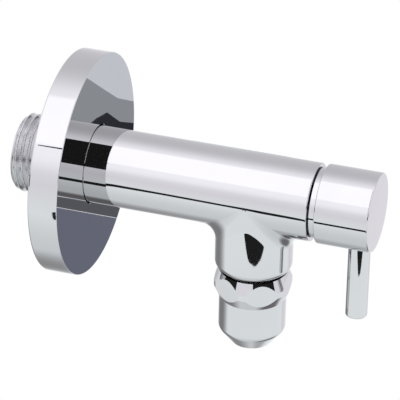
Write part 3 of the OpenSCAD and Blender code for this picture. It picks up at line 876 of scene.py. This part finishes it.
# %% Materials, bodies and slots
new_pieces = [
    (tee, "body", chrome, "valve_body"), (inlet_thread, "body", thread_chrome, "valve_body"),
    (outlet_thread, "body", thread_chrome, "valve_body"), (rosette, "rosette", chrome, "wall_rosette"),
    (cap, "handle", chrome, "handle_cap"), (lever_pin, "handle", chrome, "lever_pin"),
    (cover_ring, "body", ring_chrome, "cover_ring"), (nut, "nut", chrome, "compression_nut"),
]
for piece, body, finish, node in new_pieces:
    piece.data.materials.clear()
    piece.data.materials.append(finish)
    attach(piece, body)
    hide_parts(node)

finishes = {"chrome": chrome, "brass": brass, "rubber": rubber, "ceramic": ceramic, "steel": steel, "plastic": plastic}
for node in frame["nodes"].values():
    for place in node.material_slots:
        place.material = finishes[place.material.name.split(".")[0]]
print("pieces:", len(new_pieces), "nodes dressed:", len(frame["nodes"]))

# %% [markdown]
# ## The studio
#
# The valve stands against a plain pale ground in a white tent. The tent is the world: pale grey
# all round, lighter above, with one broad white lamp up on the left. Chrome needs something dark
# to show its form, so a black card stands round the camera, and thin dark strips draw the lines
# along the tube. The cards are hidden from the camera itself.

# %% The tent
world = bpy.data.worlds.new("tent")
bpy.context.scene.world = world
world.use_nodes = True
tent = world.node_tree
ground = tent.nodes["Background"]
where = add_node(tent, "ShaderNodeTexCoord")
axes = add_node(tent, "ShaderNodeSeparateXYZ")
tent.links.new(where.outputs["Generated"], axes.inputs["Vector"])
TENT_STRENGTH = 1.48
COOL = (0.96, 1.0, 1.01)
LILAC = (1.0, 0.98, 1.03)
GREYS = [(-1.0, 0.62), (-0.5, 0.81), (0.0, 0.73), (0.5, 0.86), (1.0, 0.97)]
fade = add_node(tent, "ShaderNodeValToRGB")
lift = add_node(tent, "ShaderNodeMapRange", {"From Min": -1.0, "From Max": 1.0})
tent.links.new(axes.outputs["Z"], lift.inputs["Value"])
tent.links.new(lift.outputs["Result"], fade.inputs["Fac"])
stops = fade.color_ramp.elements
while len(stops) < len(GREYS):
    stops.new(0.5)
for stop, (height, grey) in zip(stops, GREYS):
    stop.position = (height + 1) / 2
    tint = COOL if height < 0 else LILAC
    stop.color = (grey * tint[0], grey * tint[1], grey * tint[2], 1)
tint_now = fade.outputs["Color"]


def towards(turn, rise):
    """A direction from its turn about Z, counted from +X, and its rise, in degrees."""
    turn, rise = math.radians(turn), math.radians(rise)
    return (math.cos(turn) * math.cos(rise), math.sin(turn) * math.cos(rise), math.sin(rise))


def patch(direction, inner, outer, grey):
    """Mixes a round patch into the tent, full up to the inner angle and gone past the outer."""
    global tint_now
    facing = add_node(tent, "ShaderNodeVectorMath", operation="DOT_PRODUCT")
    facing.inputs[1].default_value = direction
    amount = add_node(tent, "ShaderNodeMapRange", interpolation_type="SMOOTHSTEP")
    amount.inputs["From Min"].default_value = math.cos(math.radians(outer))
    amount.inputs["From Max"].default_value = math.cos(math.radians(inner))
    blend = add_node(tent, "ShaderNodeMix", data_type="RGBA")
    blend.inputs[7].default_value = (grey * LILAC[0], grey * LILAC[1], grey * LILAC[2], 1)
    tent.links.new(where.outputs["Generated"], facing.inputs[0])
    tent.links.new(facing.outputs["Value"], amount.inputs["Value"])
    tent.links.new(amount.outputs["Result"], blend.inputs["Factor"])
    tent.links.new(tint_now, blend.inputs[6])
    tint_now = blend.outputs[2]


patch(towards(0, 20), 20, 70, 0.55)
patch(towards(-20, -29), 10, 25, 0.66)
patch(towards(62, -45), 12, 38, 0.2)
patch(towards(-50, -67), 8, 24, 0.15)
patch(towards(160, 45), 10, 35, 1.0)
patch(towards(160, 65), 25, 30, 1.15)
tent.links.new(tint_now, ground.inputs["Color"])
ground.inputs["Strength"].default_value = TENT_STRENGTH
paper = add_node(tent, "ShaderNodeBackground", {"Color": (1, 1, 1, 1)})
seen_by = add_node(tent, "ShaderNodeLightPath")
choice = add_node(tent, "ShaderNodeMixShader")
tent.links.new(seen_by.outputs["Is Camera Ray"], choice.inputs[0])
tent.links.new(ground.outputs[0], choice.inputs[1])
tent.links.new(paper.outputs[0], choice.inputs[2])
tent.links.new(choice.outputs[0], tent.nodes["World Output"].inputs["Surface"])
print("tent patches:", sum(node.type == "MIX" for node in tent.nodes))


# %% Cards
def card_material(name, colour):
    material = bpy.data.materials.new(name)
    material.use_nodes = True
    tree = material.node_tree
    tree.nodes.clear()
    glow = add_node(tree, "ShaderNodeEmission", {"Color": (*colour, 1)})
    end = add_node(tree, "ShaderNodeOutputMaterial")
    tree.links.new(glow.outputs[0], end.inputs["Surface"])
    return material


def stage_card(card, colour):
    card.data.materials.append(card_material(card.name, colour))
    card.visible_camera = False
    card.visible_shadow = False


BLACK = (0.02, 0.02, 0.02)
ARCH_R = 500 * MM
ARCH_LOW = math.radians(17)
ARCH_SPAN = math.radians(74)


def on_arch(y):
    return Vector((-ARCH_R * math.cos(ARCH_LOW), y, ARCH_R * math.sin(ARCH_LOW)))


black_arch = drawn("black_arch", [on_arch(-230 * MM), on_arch(-80 * MM)])
bpy.ops.mesh.spin(steps=48, angle=-ARCH_SPAN, center=(0, 0, 0), axis=(0, 1, 0))
done()
stage_card(black_arch, BLACK)

BAND_AWAY = 225 * MM
BAND_LOW = [(-165, -172), (-150, -150), (-60, -142), (20, -136), (95, -136), (180, -143), (330, -160)]
BAND_HIGH = [(330, -133), (180, -116), (95, -109), (20, -109), (-60, -112), (-100, -102), (-142, -98), (-156, -120)]
card_front = Vector((look.x, look.y, 0)).normalized()
card_side = Vector((-card_front.y, card_front.x, 0))
band = drawn("black_band", [
    card_front * BAND_AWAY + card_side * along * MM + Vector((0, 0, high * MM)) for along, high in BAND_LOW + BAND_HIGH
])
bpy.ops.mesh.edge_face_add()
done()
stage_card(band, BLACK)
for stage_piece in (black_arch, band):
    print(stage_piece.name, [round(c / MM) for c in stage_piece.dimensions])

# %% Two low black cards for the nut's upper chamfer
LOW_AWAY = 300 * MM
LOW_TALL = 50 * MM


def round_camera(degrees, low):
    """A point at the low cards' distance, turned from the camera's direction to its right."""
    turn = math.radians(degrees)
    return LOW_AWAY * (card_front * math.cos(turn) + card_side * math.sin(turn)) + Vector((0, 0, low * MM))


for name, places in (
    ("low_card_right", [(-2, 9), (28, 3), (56, -14), (62, -20)]),
    ("low_card_left", [(-50, -11), (-83, -41), (-95, -54)]),
):
    low_card = drawn(name, [on_outlet(0, 0) + round_camera(*place) for place in places])
    bpy.ops.mesh.extrude_region_move(TRANSFORM_OT_translate={"value": (0, 0, LOW_TALL)})
    done()
    stage_card(low_card, BLACK)
    print(name, "from", places[0][0], "to", places[-1][0], "degrees")

# %% Grey cards beside the rosette
BESIDE = 60


def card_beside(name, away, corners, colour):
    """A flat card parallel to the plane x = 0, from (y, z) corners in millimetres."""
    card = drawn(name, [Vector((away, y, z)) * MM for y, z in corners])
    bpy.ops.mesh.edge_face_add()
    done()
    stage_card(card, colour)
    print(name, "corners:", len(corners))


card_beside("pale_card", BESIDE + 1, [(-45, -30), (-16, -30), (-16, 8), (-45, 8)], (0.79, 0.82, 0.87))
card_beside("grey_card", BESIDE, [
    (-45, -7.5), (-33, -7.5), (-27.5, -10.4), (-23.6, -12.3), (-16, -12.6), (-16, -36), (-45, -36),
], (0.37, 0.39, 0.42))
card_beside("shade_card", BESIDE, [(-45, -36), (-16, -36), (-16, -51.6), (-45, -51.6)], (0.13, 0.135, 0.15))
card_beside("dark_card", BESIDE - 1, [
    (-34.5, -24), (-32.6, -22.5), (-29.8, -19.4), (-26.5, -16.9), (-22.6, -19.2), (-16, -18.7), (-16, -34), (-34.5, -34),
], (0.035, 0.035, 0.045))
card_beside("blue_card", BESIDE, [(-45, -51.8), (-16, -51.8), (-16, -80), (-45, -80)], (0.19, 0.2, 0.26))

# %% A thin dark strip that the rosette's rim mirrors
RIM_STRIP = [(-34.8, 3.45, 25.2), (-35.05, 3.45, 24.85), (-35.05, -4, 24.9), (-34.65, -4, 25.5)]
rim_strip = drawn("rim_strip", [Vector(corner) * MM for corner in RIM_STRIP])
bpy.ops.mesh.edge_face_add()
done()
stage_card(rim_strip, (0.05, 0.05, 0.055))
print("rim strip corners:", len(RIM_STRIP))

# %% Floor
FLOOR_Z = -260 * MM
bpy.ops.object.select_all(action="DESELECT")
bpy.ops.mesh.primitive_plane_add(size=30, location=(0, 0, FLOOR_Z))
floor = bpy.context.object
floor.name = "floor"
bpy.ops.object.transform_apply(location=True, rotation=True, scale=True)
floor.data.materials.append(card_material("white_ground", (1, 1, 1)))
floor.visible_glossy = False
floor.visible_shadow = False

# %% [markdown]
# ## Colours
#
# The Standard view keeps white paper white.

# %% Finish
bpy.context.scene.view_settings.view_transform = "Standard"
bpy.context.scene.view_settings.look = "None"
